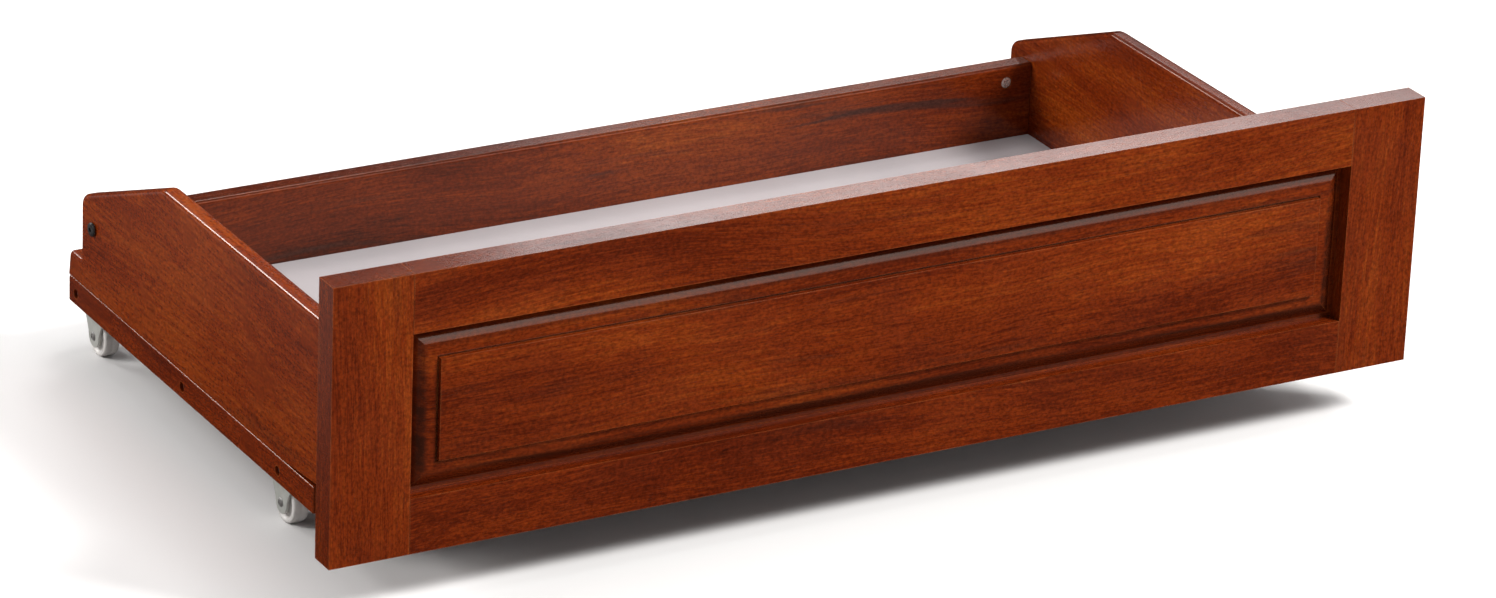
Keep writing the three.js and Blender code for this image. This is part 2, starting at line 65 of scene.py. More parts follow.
# --------------------------------------------------------------------------
# mesh helpers
# --------------------------------------------------------------------------
def make(name, verts, faces, sharp=32.0, smooth=True):
    me = bpy.data.meshes.new(name)
    me.from_pydata([tuple(v) for v in verts], [], faces)
    me.update()
    bm = bmesh.new()
    bm.from_mesh(me)
    bmesh.ops.remove_doubles(bm, verts=bm.verts, dist=1e-7)
    bmesh.ops.recalc_face_normals(bm, faces=bm.faces)
    bm.to_mesh(me)
    bm.free()
    o = bpy.data.objects.new(name, me)
    bpy.context.scene.collection.objects.link(o)
    finish_shading(o, sharp, smooth)
    return o


def finish_shading(o, sharp=32.0, smooth=True):
    me = o.data
    for p in me.polygons:
        p.use_smooth = smooth
    if smooth:
        me.set_sharp_from_angle(angle=math.radians(sharp))


def apply_modifiers(o):
    dg = bpy.context.evaluated_depsgraph_get()
    me = bpy.data.meshes.new_from_object(o.evaluated_get(dg))
    o.modifiers.clear()
    old = o.data
    o.data = me
    bpy.data.meshes.remove(old)


def cut(o, cutters, sharp=32.0):
    for c in cutters:
        m = o.modifiers.new("cut", "BOOLEAN")
        m.operation = "DIFFERENCE"
        m.solver = "EXACT"
        m.object = c
    bpy.context.view_layer.update()
    apply_modifiers(o)
    for c in cutters:
        me = c.data
        bpy.data.objects.remove(c)
        bpy.data.meshes.remove(me)
    finish_shading(o, sharp)


def join_solid(o, others, sharp=32.0):
    for c in others:
        m = o.modifiers.new("join", "BOOLEAN")
        m.operation = "UNION"
        m.solver = "EXACT"
        m.object = c
    bpy.context.view_layer.update()
    apply_modifiers(o)
    for c in others:
        me = c.data
        bpy.data.objects.remove(c)
        bpy.data.meshes.remove(me)
    finish_shading(o, sharp)


def bevel(o, width, segments=3, angle=40.0, apply=False):
    m = o.modifiers.new("edges", "BEVEL")
    m.width = width
    m.segments = segments
    m.limit_method = "ANGLE"
    m.angle_limit = math.radians(angle)
    m.harden_normals = False
    m.miter_outer = "MITER_ARC"
    if apply:
        bpy.context.view_layer.update()
        apply_modifiers(o)
        finish_shading(o)
    return m


def lathe(name, profile, place, axis="x", segments=48, sharp=32.0):
    """profile: (radius, along) in mm, from one end of the axis to the other."""
    verts, faces, rings = [], [], []
    for r, a in profile:
        if r < 1e-6:
            verts.append(Vector((a, 0, 0)))
            rings.append([len(verts) - 1])
        else:
            ring = []
            for k in range(segments):
                t = 2 * math.pi * k / segments
                verts.append(Vector((a, r * math.cos(t), r * math.sin(t))))
                ring.append(len(verts) - 1)
            rings.append(ring)
    closed = not (len(rings[0]) == 1 or len(rings[-1]) == 1)
    pairs = list(zip(rings, rings[1:]))
    if closed:
        pairs.append((rings[-1], rings[0]))
    for p, q in pairs:
        for k in range(segments):
            k2 = (k + 1) % segments
            if len(p) == 1 and len(q) == 1:
                continue
            if len(p) == 1:
                faces.append((p[0], q[k2], q[k]))
            elif len(q) == 1:
                faces.append((p[k], p[k2], q[0]))
            else:
                faces.append((p[k], p[k2], q[k2], q[k]))
    if axis == "x":
        rot = Matrix.Identity(3)
    elif axis == "y":
        rot = Matrix(((0, -1, 0), (1, 0, 0), (0, 0, 1)))
    elif axis == "-x":
        rot = Matrix(((-1, 0, 0), (0, 1, 0), (0, 0, -1)))
    else:  # z
        rot = Matrix(((0, 0, -1), (0, 1, 0), (1, 0, 0)))
    out = [place + (rot @ v) * MM for v in verts]
    return make(name, out, faces, sharp)


def rod(name, r, a, b, axis, segments=32):
    """plain cutter, from point a along the axis for b mm"""
    return lathe(name, [(0, 0), (r, 0), (r, b), (0, b)], a, axis, segments)


def block(name, lo, hi):
    x0, y0, z0 = lo
    x1, y1, z1 = hi
    v = [(x0, y0, z0), (x1, y0, z0), (x1, y1, z0), (x0, y1, z0), (x0, y0, z1), (x1, y0, z1), (x1, y1, z1), (x0, y1, z1)]
    f = [(0, 3, 2, 1), (4, 5, 6, 7), (0, 1, 5, 4), (1, 2, 6, 5), (2, 3, 7, 6), (3, 0, 4, 7)]
    return make(name, v, f)


def rounded(points, per90=10):
    """closed outline with rounded corners; each point is (a, b, corner radius, edge round)"""
    out = []
    n = len(points)
    for i in range(n):
        p = Vector(points[i][:2])
        a = Vector(points[(i - 1) % n][:2])
        b = Vector(points[(i + 1) % n][:2])
        r = points[i][2]
        er = points[i][3]
        if r <= 0:
            out.append((p, er))
            continue
        da = (a - p).normalized()
        db = (b - p).normalized()
        half = math.acos(max(-1, min(1, da.dot(db)))) / 2
        t = r / math.tan(half)
        c = p + (da + db).normalized() * (r / math.sin(half))
        p0, p1 = p + da * t, p + db * t
        a0 = math.atan2(p0.y - c.y, p0.x - c.x)
        a1 = math.atan2(p1.y - c.y, p1.x - c.x)
        if a1 - a0 > math.pi:
            a1 -= 2 * math.pi
        if a1 - a0 < -math.pi:
            a1 += 2 * math.pi
        steps = max(3, round(abs(a1 - a0) / (math.pi / 2) * per90))
        for k in range(steps + 1):
            q = a0 + (a1 - a0) * k / steps
            out.append((Vector((c.x + r * math.cos(q), c.y + r * math.sin(q))), er))
    return out


def slab(name, outline, x0, x1, ring=7, sharp=32.0):
    """outline of ((y, z), edge round) in design mm, pushed from x0 to x1 with its edges rounded over"""
    pts = [p for p, _ in outline]
    rad = [r for _, r in outline]
    n = len(pts)
    area = sum(pts[i].x * pts[(i + 1) % n].y - pts[(i + 1) % n].x * pts[i].y for i in range(n))
    s = 1.0 if area > 0 else -1.0
    nor = []
    for i in range(n):
        a, p, b = pts[i - 1], pts[i], pts[(i + 1) % n]
        d0, d1 = (p - a).normalized(), (b - p).normalized()
        n0 = Vector((d0.y, -d0.x)) * s
        n1 = Vector((d1.y, -d1.x)) * s
        m = (n0 + n1)
        m = m / max(1e-6, m.dot(n0)) if m.length > 1e-6 else n0
        nor.append(m)
    verts, rings = [], []
    levels = []
    for k in range(ring + 1):
        f = math.pi / 2 * k / ring
        levels.append((1 - math.sin(f), 1 - math.cos(f), 0))
    for k in range(ring + 1):
        f = math.pi / 2 * (1 - k / ring)
        levels.append((1 - math.sin(f), 1 - math.cos(f), 1))
    # first group runs from the inset cap outwards, the second back to the far cap
    for inn, ax, side in levels:
        loop = []
        for i in range(n):
            q = pts[i] - nor[i] * (rad[i] * inn)
            x = (x0 + rad[i] * ax) if side == 0 else (x1 - rad[i] * ax)
            verts.append(D(x, q.x, q.y))
            loop.append(len(verts) - 1)
        rings.append(loop)
    faces = [tuple(rings[0]), tuple(reversed(rings[-1]))]
    for p, q in zip(rings, rings[1:]):
        for i in range(n):
            j = (i + 1) % n
            faces.append((p[i], q[i], q[j], p[j]))
    o = make(name, verts, faces, sharp)
    return o


def weighted(o):
    m = o.modifiers.new("normals", "WEIGHTED_NORMAL")
    m.keep_sharp = True
    m.weight = 60
    return o


# --------------------------------------------------------------------------
# node helpers
# --------------------------------------------------------------------------
class Tree:
    def __init__(self, name):
        self.m = bpy.data.materials.new(name)
        self.m.use_nodes = True
        self.t = self.m.node_tree
        self.t.nodes.clear()
        self.out = self.n("ShaderNodeOutputMaterial")
        self.b = self.n("ShaderNodeBsdfPrincipled")
        self.t.links.new(self.b.outputs[0], self.out.inputs[0])

    def n(self, kind, **kw):
        x = self.t.nodes.new(kind)
        for k, v in kw.items():
            setattr(x, k, v)
        return x

    def put(self, sock, v):
        if isinstance(v, bpy.types.NodeSocket):
            self.t.links.new(v, sock)
        else:
            sock.default_value = v

    def math(self, op, a, b=0.0, clamp=False):
        x = self.n("ShaderNodeMath", operation=op, use_clamp=clamp)
        self.put(x.inputs[0], a)
        self.put(x.inputs[1], b)
        return x.outputs[0]

    def vmath(self, op, a, b):
        x = self.n("ShaderNodeVectorMath", operation=op)
        self.put(x.inputs[0], a)
        self.put(x.inputs[1], b)
        return x.outputs[0]

    def mapping(self, vec, loc=(0, 0, 0), rot=(0, 0, 0), scale=(1, 1, 1)):
        x = self.n("ShaderNodeMapping")
        self.put(x.inputs["Vector"], vec)
        x.inputs["Location"].default_value = loc
        x.inputs["Rotation"].default_value = rot
        x.inputs["Scale"].default_value = scale
        return x.outputs[0]

    def noise(self, vec, scale=(1, 1, 1), detail=2.0, rough=0.5, distortion=0.0, loc=(0, 0, 0)):
        v = self.mapping(vec, loc=loc, scale=scale)
        x = self.n("ShaderNodeTexNoise")
        self.put(x.inputs["Vector"], v)
        x.inputs["Scale"].default_value = 1.0
        x.inputs["Detail"].default_value = detail
        x.inputs["Roughness"].default_value = rough
        x.inputs["Distortion"].default_value = distortion
        return x.outputs["Fac"]

    def fit(self, v, a, b, c=0.0, d=1.0, smooth=True):
        x = self.n("ShaderNodeMapRange")
        x.interpolation_type = "SMOOTHSTEP" if smooth else "LINEAR"
        self.put(x.inputs["Value"], v)
        x.inputs["From Min"].default_value = a
        x.inputs["From Max"].default_value = b
        x.inputs["To Min"].default_value = c
        x.inputs["To Max"].default_value = d
        return x.outputs[0]

    def ramp(self, v, stops):
        x = self.n("ShaderNodeValToRGB")
        cr = x.color_ramp
        cr.interpolation = "EASE"
        while len(cr.elements) < len(stops):
            cr.elements.new(0.5)
        for e, (p, c) in zip(cr.elements, stops):
            e.position = p
            e.color = (*c, 1.0)
        self.put(x.inputs[0], v)
        return x.outputs[0]

    def mix(self, fac, a, b, mode="MIX"):
        x = self.n("ShaderNodeMix", data_type="RGBA", blend_type=mode)
        self.put(x.inputs["Factor"], fac)
        for s, v in ((x.inputs[6], a), (x.inputs[7], b)):
            if isinstance(v, bpy.types.NodeSocket):
                self.t.links.new(v, s)
            else:
                s.default_value = (*v, 1.0) if len(v) == 3 else v
        return x.outputs[2]

    def bump(self, h, strength, distance, normal=None):
        x = self.n("ShaderNodeBump")
        x.inputs["Strength"].default_value = strength
        x.inputs["Distance"].default_value = distance
        self.put(x.inputs["Height"], h)
        if normal is not None:
            self.put(x.inputs["Normal"], normal)
        return x.outputs[0]

    def coords(self):
        return self.n("ShaderNodeTexCoord").outputs["Object"]

    def edges(self, radius=0.0012, samples=3):
        """1 on a sharp edge, 0 on the flats"""
        bv = self.n("ShaderNodeBevel", samples=samples)
        bv.inputs["Radius"].default_value = radius
        geo = self.n("ShaderNodeNewGeometry")
        d = self.n("ShaderNodeVectorMath", operation="DOT_PRODUCT")
        self.put(d.inputs[0], bv.outputs[0])
        self.put(d.inputs[1], geo.outputs["Normal"])
        return self.fit(d.outputs["Value"], 0.995, 0.86, 0.0, 1.0)


ROT = {  # turns the grain axis into local x
    "x": (0, 0, 0),
    "y": (0, 0, -math.pi / 2),
    "z": (0, math.pi / 2, 0),
}
_woods = {}


def wood(key, axis="x", seed=0.0, tone=0.0, streaks=0.5, gloss=1.0, veil=(1, 1, 1), wear_and_highlight=0.5, figure=1.0,
         spec=0.26, coat=0.45, dim=0.90, top=1.0, end=1.0, recess=None, drift=0.0):
    """Stained, clear-coated hardwood with its grain along one axis.
    top, end: painted shade, a factor that darkens the colour of the upper and the left end faces, set by matching
    tones under these lights, so it isn't a measured property of the finish;
    recess: (near, far) depths in y between which the colour is darker, less so high up; partly stain gathered in the
    sunken border, partly painted shade;
    drift: how much darker the board runs towards its left end."""
    k = Tree("wood_" + key)
    P = k.coords()
    q = k.mapping(P, loc=(0, 0, 0), rot=ROT[axis])
    q = k.mapping(q, loc=(seed * 1.37, seed * 0.83 + 0.11, seed * 0.59))
    # slow wander of the grain
    wa = k.noise(q, (1.6, 6.0, 6.0), 2.0, 0.5)
    wb = k.noise(q, (2.4, 7.0, 7.0), 1.0, 0.5, loc=(7.3, 1.9, 4.1))
    comb = k.n("ShaderNodeCombineXYZ")
    k.put(comb.inputs[1], k.math("MULTIPLY", k.math("SUBTRACT", wa, 0.5), 0.075))
    k.put(comb.inputs[2], k.math("MULTIPLY", k.math("SUBTRACT", wb, 0.5), 0.060))
    g = k.vmath("ADD", q, comb.outputs[0])
    broad = k.noise(g, (2.2, 17.0, 17.0), 3.0, 0.5)
    blot = k.noise(q, (4.0, 9.0, 9.0), 2.0, 0.5, loc=(3.1, 8.2, 5.5))
    lines = k.noise(g, (11.0, 330.0, 330.0), 3.0, 0.6, loc=(1.7, 0, 2.9))
    fine = k.noise(g, (46.0, 900.0, 900.0), 3.0, 0.6)
    shimmer = k.noise(g, (300.0, 430.0, 430.0), 2.0, 0.6, loc=(9.1, 4.4, 0.7))
    pores = k.noise(g, (120.0, 1500.0, 1500.0), 2.0, 0.55, loc=(0.3, 5.9, 3.3))
    t = k.math("MULTIPLY", k.fit(broad, 0.25, 0.75), 0.34)
    t = k.math("ADD", t, k.math("MULTIPLY", k.fit(blot, 0.25, 0.75), 0.24))
    t = k.math("ADD", t, k.math("MULTIPLY", k.fit(lines, 0.28, 0.72), 0.22))
    t = k.math("ADD", t, k.math("MULTIPLY", k.fit(fine, 0.28, 0.72), 0.24))
    t = k.math("ADD", t, tone - 0.02)
    if drift:
        px = k.n("ShaderNodeSeparateXYZ")
        k.put(px.inputs[0], P)
        t = k.math("SUBTRACT", t, k.fit(px.outputs[0], 0.00, -0.26, 0.0, drift))
    col = k.ramp(t, [
        (0.00, (0.050, 0.0060, 0.0015)),
        (0.28, (0.116, 0.0130, 0.0022)),
        (0.52, (0.186, 0.0240, 0.0030)),
        (0.76, (0.262, 0.0440, 0.0048)),
        (1.00, (0.350, 0.0760, 0.0090)),
    ])
    # darker, cooler streaks that run with the grain
    st = k.noise(g, (3.2, 62.0, 62.0), 3.0, 0.55, loc=(5.0, 2.2, 6.1))
    gate = k.noise(q, (2.0, 7.0, 7.0), 1.0, 0.5, loc=(2.2, 9.3, 1.0))
    sm = k.math("MULTIPLY", k.fit(st, 0.56, 0.70), k.fit(gate, 0.42, 0.62), clamp=True)
    sm = k.math("MULTIPLY", sm, streaks)
    col = k.mix(sm, col, (0.050, 0.0130, 0.0075))
    # short open pores
    pm = k.fit(pores, 0.60, 0.72)
    col = k.mix(k.math("MULTIPLY", pm, 0.42), col, (0.040, 0.0080, 0.0035))
    # silky cross figure
    fig = k.fit(shimmer, 0.25, 0.75, 1.0 - 0.32 * figure, 1.0 + 0.32 * figure)
    fv = k.n("ShaderNodeCombineXYZ")
    for i in range(3):
        k.put(fv.inputs[i], fig)
    col = k.mix(1.0, col, fv.outputs[0], "MULTIPLY")
    # veil and dim scale the colour; the back panel's veil greys it, a painted reflection of the pale surroundings
    col = k.mix(1.0, col, tuple(v * dim for v in veil), "MULTIPLY")
    # painted shade: upper faces and the left end faces are darkened by the factors top and end
    if top != 1.0 or end != 1.0:
        nv = k.n("ShaderNodeSeparateXYZ")
        k.put(nv.inputs[0], k.n("ShaderNodeNewGeometry").outputs["Normal"])
        sh = k.math("MULTIPLY", k.fit(nv.outputs[2], 0.45, 0.75, 1.0, top), k.fit(nv.outputs[0], -0.97, -0.75, end, 1.0))
        sv = k.n("ShaderNodeCombineXYZ")
        for i in range(3):
            k.put(sv.inputs[i], sh)
        col = k.mix(1.0, col, sv.outputs[0], "MULTIPLY")
    # sunken border of the panel: darker colour, partly stain gathered there and partly painted shade, weaker high up
    # where less shade falls
    if recess:
        py = k.n("ShaderNodeSeparateXYZ")
        k.put(py.inputs[0], P)
        near, far = recess
        gm = k.math("MULTIPLY", k.fit(py.outputs[1], near, near + 0.0011), k.fit(py.outputs[1], far - 0.0030, far, 1.0, 0.30))
        gm = k.math("MULTIPLY", gm, k.fit(py.outputs[2], front_lo.z + 0.12, front_lo.z + 0.17, 1.0, 0.45))
        gn = k.noise(g, (5.0, 130.0, 130.0), 3.0, 0.55, loc=(6.6, 0.4, 3.7))
        gm = k.math("MULTIPLY", gm, k.fit(gn, 0.30, 0.60, 0.40, 0.95), clamp=True)
        col = k.mix(gm, col, (0.036, 0.0085, 0.0040))
    # rubbed edges, where the stain is thin, lighter along every sharp edge; partly wear, partly a painted highlight on
    # the arrises
    ed = k.edges(0.0014)
    rub_and_highlight = k.math("MULTIPLY", ed, k.fit(k.noise(q, (30, 30, 30), 3.0, 0.6), 0.35, 0.65, 0.35, 1.0))
    rub_and_highlight = k.math("MULTIPLY", rub_and_highlight, wear_and_highlight)
    col = k.mix(rub_and_highlight, col, (0.42, 0.125, 0.035))
    k.put(k.b.inputs["Base Color"], col)
    # gloss varies with the coat and over the pores
    cl = k.noise(q, (16, 16, 16), 3.0, 0.55, loc=(4, 4, 4))
    r = k.fit(cl, 0.3, 0.7, 0.19 / gloss, 0.29 / gloss)
    r = k.math("ADD", r, k.math("MULTIPLY", pm, 0.18))
    r = k.math("ADD", r, k.math("MULTIPLY", rub_and_highlight, 0.12), clamp=True)
    k.put(k.b.inputs["Roughness"], r)
    h = k.math("ADD", k.math("MULTIPLY", fine, 0.6), k.math("MULTIPLY", lines, 0.5))
    h = k.math("SUBTRACT", h, k.math("MULTIPLY", pm, 0.9))
    h = k.math("ADD", h, k.math("MULTIPLY", cl, 0.5))
    k.put(k.b.inputs["Normal"], k.bump(h, 0.16, 0.00025))
    k.b.inputs["IOR"].default_value = 1.50
    k.b.inputs["Specular IOR Level"].default_value = spec
    k.b.inputs["Specular Tint"].default_value = (1.0, 0.52, 0.28, 1.0)
    k.b.inputs["Coat Weight"].default_value = coat
    k.b.inputs["Coat Roughness"].default_value = 0.13
    return k.m


def end_grain(key, seed=0.0):
    return wood(key, "x", seed)


def board_white():
    k = Tree("white_board")
    P = k.coords()
    cloud = k.noise(P, (5, 5, 5), 4.0, 0.55)
    speck = k.noise(P, (420, 420, 420), 2.0, 0.5)
    scuff = k.noise(P, (9, 140, 40), 3.0, 0.6, loc=(2, 5, 1))
    col = k.ramp(cloud, [(0.25, (0.43, 0.41, 0.425)), (0.75, (0.51, 0.485, 0.50))])
    col = k.mix(k.math("MULTIPLY", k.fit(speck, 0.62, 0.75), 0.12), col, (0.52, 0.49, 0.50))
    col = k.mix(k.math("MULTIPLY", k.fit(scuff, 0.66, 0.76), 0.16), col, (0.60, 0.56, 0.55))
    k.put(k.b.inputs["Base Color"], col)
    k.put(k.b.inputs["Roughness"], k.fit(cloud, 0.3, 0.7, 0.16, 0.26))
    h = k.math("ADD", k.math("MULTIPLY", speck, 0.5), k.math("MULTIPLY", cloud, 0.8))
    k.put(k.b.inputs["Normal"], k.bump(h, 0.12, 0.0004))
    k.b.inputs["IOR"].default_value = 1.48
    return k.m


def plastic(key, lo, hi, rough=(0.30, 0.44), bump=0.12, sub=0.0, dirt=0.35):
    k = Tree(key)
    P = k.coords()
    cloud = k.noise(P, (60, 60, 60), 3.0, 0.6)
    grit = k.noise(P, (1400, 1400, 1400), 2.0, 0.5)
    col = k.ramp(cloud, [(0.25, lo), (0.75, hi)])
    grime = k.math("MULTIPLY", k.fit(k.noise(P, (110, 110, 110), 4.0, 0.65, loc=(3, 1, 2)), 0.52, 0.74), dirt)
    col = k.mix(grime, col, (0.30, 0.27, 0.23))
    # lighter along sharp edges: partly wear, partly a painted highlight
    ed = k.edges(0.0009)
    col = k.mix(k.math("MULTIPLY", ed, 0.35), col, (0.92, 0.91, 0.88))
    k.put(k.b.inputs["Base Color"], col)
    k.put(k.b.inputs["Roughness"], k.math("ADD", k.fit(cloud, 0.3, 0.7, *rough), k.math("MULTIPLY", grime, 0.4)))
    k.put(k.b.inputs["Normal"], k.bump(k.math("ADD", grit, cloud), bump, 0.0002))
    k.b.inputs["IOR"].default_value = 1.49
    k.b.inputs["Subsurface Weight"].default_value = sub
    k.b.inputs["Subsurface Radius"].default_value = (0.004, 0.004, 0.0035)
    return k.m


def metal(key, lo, hi, rough=(0.24, 0.4), metallic=1.0, bump=0.2):
    k = Tree(key)
    P = k.coords()
    cloud = k.noise(P, (220, 220, 220), 4.0, 0.6)
    grit = k.noise(P, (1800, 1800, 1800), 2.0, 0.6)
    col = k.ramp(cloud, [(0.25, lo), (0.75, hi)])
    # much lighter along sharp edges: partly wear, partly a painted glint
    ed = k.edges(0.0005)
    col = k.mix(k.math("MULTIPLY", ed, 0.5), col, tuple(min(1.0, c * 1.8 + 0.05) for c in hi))
    k.put(k.b.inputs["Base Color"], col)
    k.b.inputs["Metallic"].default_value = metallic
    k.put(k.b.inputs["Roughness"], k.math("ADD", k.fit(cloud, 0.3, 0.7, *rough), k.math("MULTIPLY", grit, 0.06)))
    k.put(k.b.inputs["Normal"], k.bump(k.math("ADD", grit, cloud), bump, 0.00012))
    return k.m


def paint(obj, mat):
    if obj.data.materials:
        for i in range(len(obj.material_slots)):
            obj.material_slots[i].material = mat
    else:
        obj.data.materials.append(mat)
        obj.material_slots[0].material = mat


def node(name):
    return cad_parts[name]


def placed(o, nodes, mat, body=ROOT):
    paint(o, mat)
    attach(o, body)
    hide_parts(*([nodes] if isinstance(nodes, str) else nodes))
    return o


# --------------------------------------------------------------------------
# front: frame pieces keep their CAD solids, with worked edges
# --------------------------------------------------------------------------
# top and end below: painted shade on the upper faces and on the left end face
M_stile_l = wood("stile_left", "z", 1.0, tone=-0.02, streaks=0.25, top=0.6, end=0.72)
M_stile_r = wood("stile_right", "z", 2.6, tone=-0.05, streaks=0.2, top=0.6)
M_top = wood("top_rail", "x", 3.9, tone=0.06, streaks=0.3, top=0.6)
M_bot = wood("bottom_rail", "x", 5.2, tone=-0.05, streaks=0.35)
# recess: partly stain, partly painted shade in the panel's sunken border
M_panel = wood("raised_panel", "x", 6.4, tone=-0.02, streaks=0.55,
               recess=(front_lo.y + 0.0064, front_lo.y + 0.0140))
for nm, mat in (("front_left_stile", M_stile_l), ("front_right_stile", M_stile_r),
                ("front_top_rail", M_top), ("front_bottom_rail", M_bot)):
    o = node(nm)
    paint(o, mat)
    bevel(o, 0.0009, 3)

# raised panel: field, square shoulder, S-shaped fall, flat, tongue; mitred corners
def raised_panel():
    lo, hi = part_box("front_raised_panel")
    ax0 = lohi("front_left_stile")[1].x      # frame opening
    ax1 = lohi("front_right_stile")[0].x
    az0 = front_lo.z + 0.048
    az1 = front_lo.z + 0.189
    y0 = front_lo.y
    border, field, step, flat = 26.5, 3.0, 3.2, 3.0
    tongue = 14.8
    back = 18.7
    prof = [(border + 0.4, field)]           # (distance in from the opening, depth)
    for i in range(1, 5):                    # eased arris round the field
        a = math.pi / 2 * i / 4
        prof.append((border + 0.4 - 0.4 * math.sin(a), field + 0.4 * (1 - math.cos(a))))
    prof.append((border, field + step + 1.5))
    prof.append((border - 0.3, field + step + 1.8))
    prof.append((border - 0.8, field + step + 1.7))
    prof.append((border - 1.3, field + step + 0.8))
    prof.append((border - 1.9, field + step + 0.15))
    prof.append((border - 2.5, field + step))
    knots = [(border - 2.5, field + step, 0.03), (17.5, 6.75, 0.16), (13.0, 8.0, 0.42), (9.0, 10.2, 0.68),
             (6.2, 12.6, 0.95), (4.4, 13.95, 0.50), (3.2, 14.3, 0.15)]
    for (u0, v0, m0), (u1, v1, m1) in zip(knots, knots[1:]):
        L = u0 - u1
        for i in range(1, 9):
            t = i / 8
            h00, h10 = 2 * t ** 3 - 3 * t ** 2 + 1, t ** 3 - 2 * t ** 2 + t
            h01, h11 = -2 * t ** 3 + 3 * t ** 2, t ** 3 - t ** 2
            prof.append((u0 - L * t, h00 * v0 + h10 * m0 * L + h01 * v1 + h11 * m1 * L))
    prof += [(3.05, 14.5), (3.0, tongue)]
    prof.append((-7.9, tongue))
    prof.append((-7.9, back))
    verts, faces, rings = [], [], []
    for d, y in prof:
        x0, x1 = ax0 + d * MM, ax1 - d * MM
        z0, z1 = az0 + d * MM, az1 - d * MM
        yy = y0 + y * MM
        ring = []
        for p in ((x0, yy, z0), (x1, yy, z0), (x1, yy, z1), (x0, yy, z1)):
            verts.append(Vector(p))
            ring.append(len(verts) - 1)
        rings.append(ring)
    faces.append(tuple(rings[0]))
    for p, q in zip(rings, rings[1:]):
        for i in range(4):
            j = (i + 1) % 4
            faces.append((p[i], q[i], q[j], p[j]))
    faces.append(tuple(reversed(rings[-1])))
    return make("raised_panel_worked", verts, faces, 24.0)


placed(raised_panel(), "front_raised_panel", M_panel)

# --------------------------------------------------------------------------
# side panels
# --------------------------------------------------------------------------
y_front = (side_lo.y - front_lo.y) / MM
y_rear = (side_hi.y - front_lo.y) / MM
z_bot = (side_lo.z - front_lo.z) / MM
z_top = (side_hi.z - front_lo.z) / MM
side_x0 = (side_lo.x - front_lo.x) / MM
side_x1 = (side_hi.x - front_lo.x) / MM
STUD_X = (side_x0 + side_x1) / 2


def side_outline():
    e, s = 4.5, 0.6
    # y, z, corner radius, edge round
    return rounded([
        (y_front, z_bot + 4.3, 0, s),
        (108, z_bot + 4.3, 8, s),
        (172, z_bot, 40, s),
        (y_rear, z_bot, 0, s),
        (y_rear, 40.5, 6, 4.0),
        (567, 40.5, 2.2, 4.0),
        (567, 99.5, 13, e),
        (403, z_top, 26, e),
        (y_front, z_top, 0, e),
    ], 14)


def dense(outline, step=12.0):
    """no long edge, so that the rounding radius can change smoothly along the outline"""
    out = []
    n = len(outline)
    for i in range(n):
        (p, r), (q, r2) = outline[i], outline[(i + 1) % n]
        L = (q - p).length
        k = max(1, int(L // step))
        for j in range(k):
            t = j / k
            out.append((p.lerp(q, t), r + (r2 - r) * t))
    return out


nut_y, nut_z = [(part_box("left_lower_cam_nut")[0][i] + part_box("left_lower_cam_nut")[1][i]) / 2 for i in (1, 2)]


def side_panel(which):
    left = which == "left"
    x0, x1 = (side_x0, side_x1) if left else (W_MM - side_x1, W_MM - side_x0)
    o = slab(which + "_side_worked", side_outline(), x0, x1, 7)
    cutters = []
    for lvl in ("lower", "upper"):
        lo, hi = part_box(f"{which}_{lvl}_cam_nut")
        c = (lo + hi) / 2
        if left:
            cutters.append(rod("c", 7.8, Vector((hi.x - 0.0126, c.y, c.z)), 14, "x", 40))
        else:
            cutters.append(rod("c", 7.8, Vector((lo.x + 0.0126, c.y, c.z)), 14, "-x", 40))
    cut(o, cutters)
    return o


# the right side panel's top=0.6 is painted shade on its upper faces
for which, seed in (("left", 8.1), ("right", 9.7)):
    mat = wood(which + "_side", "y", seed, tone=0.07 if which == "left" else 0.0, streaks=0.35,
               top=1.0 if which == "left" else 0.6,
               spec=0.26 if which == "left" else 0.2, coat=0.40 if which == "left" else 0.12)
    placed(weighted(side_panel(which)), which + "_side_panel", mat)

# --------------------------------------------------------------------------
# back panel
# --------------------------------------------------------------------------
def back_panel():
    yb0 = (back_lo.y - front_lo.y) / MM
    yb1 = (back_hi.y - front_lo.y) / MM
    zb0 = (back_lo.z - front_lo.z) / MM
    zb1 = (back_hi.z - front_lo.z) / MM
    bx0 = (back_lo.x - front_lo.x) / MM
    bx1 = (back_hi.x - front_lo.x) / MM
    out = rounded([(yb0, zb0, 0.6, 0.5), (yb1, zb0, 0.6, 0.5), (yb1, zb1, 3.4, 0.6), (yb0, zb1, 3.4, 0.6)], 10)
    o = slab("back_panel_worked", out, bx0, bx1, 3)
    cutters = []
    for which in ("left", "right"):
        lo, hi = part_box(which + "_back_barrel_nut")
        c = (lo + hi) / 2
        cutters.append(rod("c", 5.35, Vector((c.x, back_lo.y - 0.001, c.z)), 19, "y", 36))
    cut(o, cutters)
    return o


# veil below: painted reflection that greys the colour; top: painted shade on the upper face
M_back = wood("back", "x", 11.3, tone=-0.12, streaks=1.0, top=0.6, drift=0.16, veil=(0.92, 1.08, 1.3), gloss=1.1, spec=0.26, coat=0.30, dim=1.0)
placed(weighted(back_panel()), "back_panel", M_back)

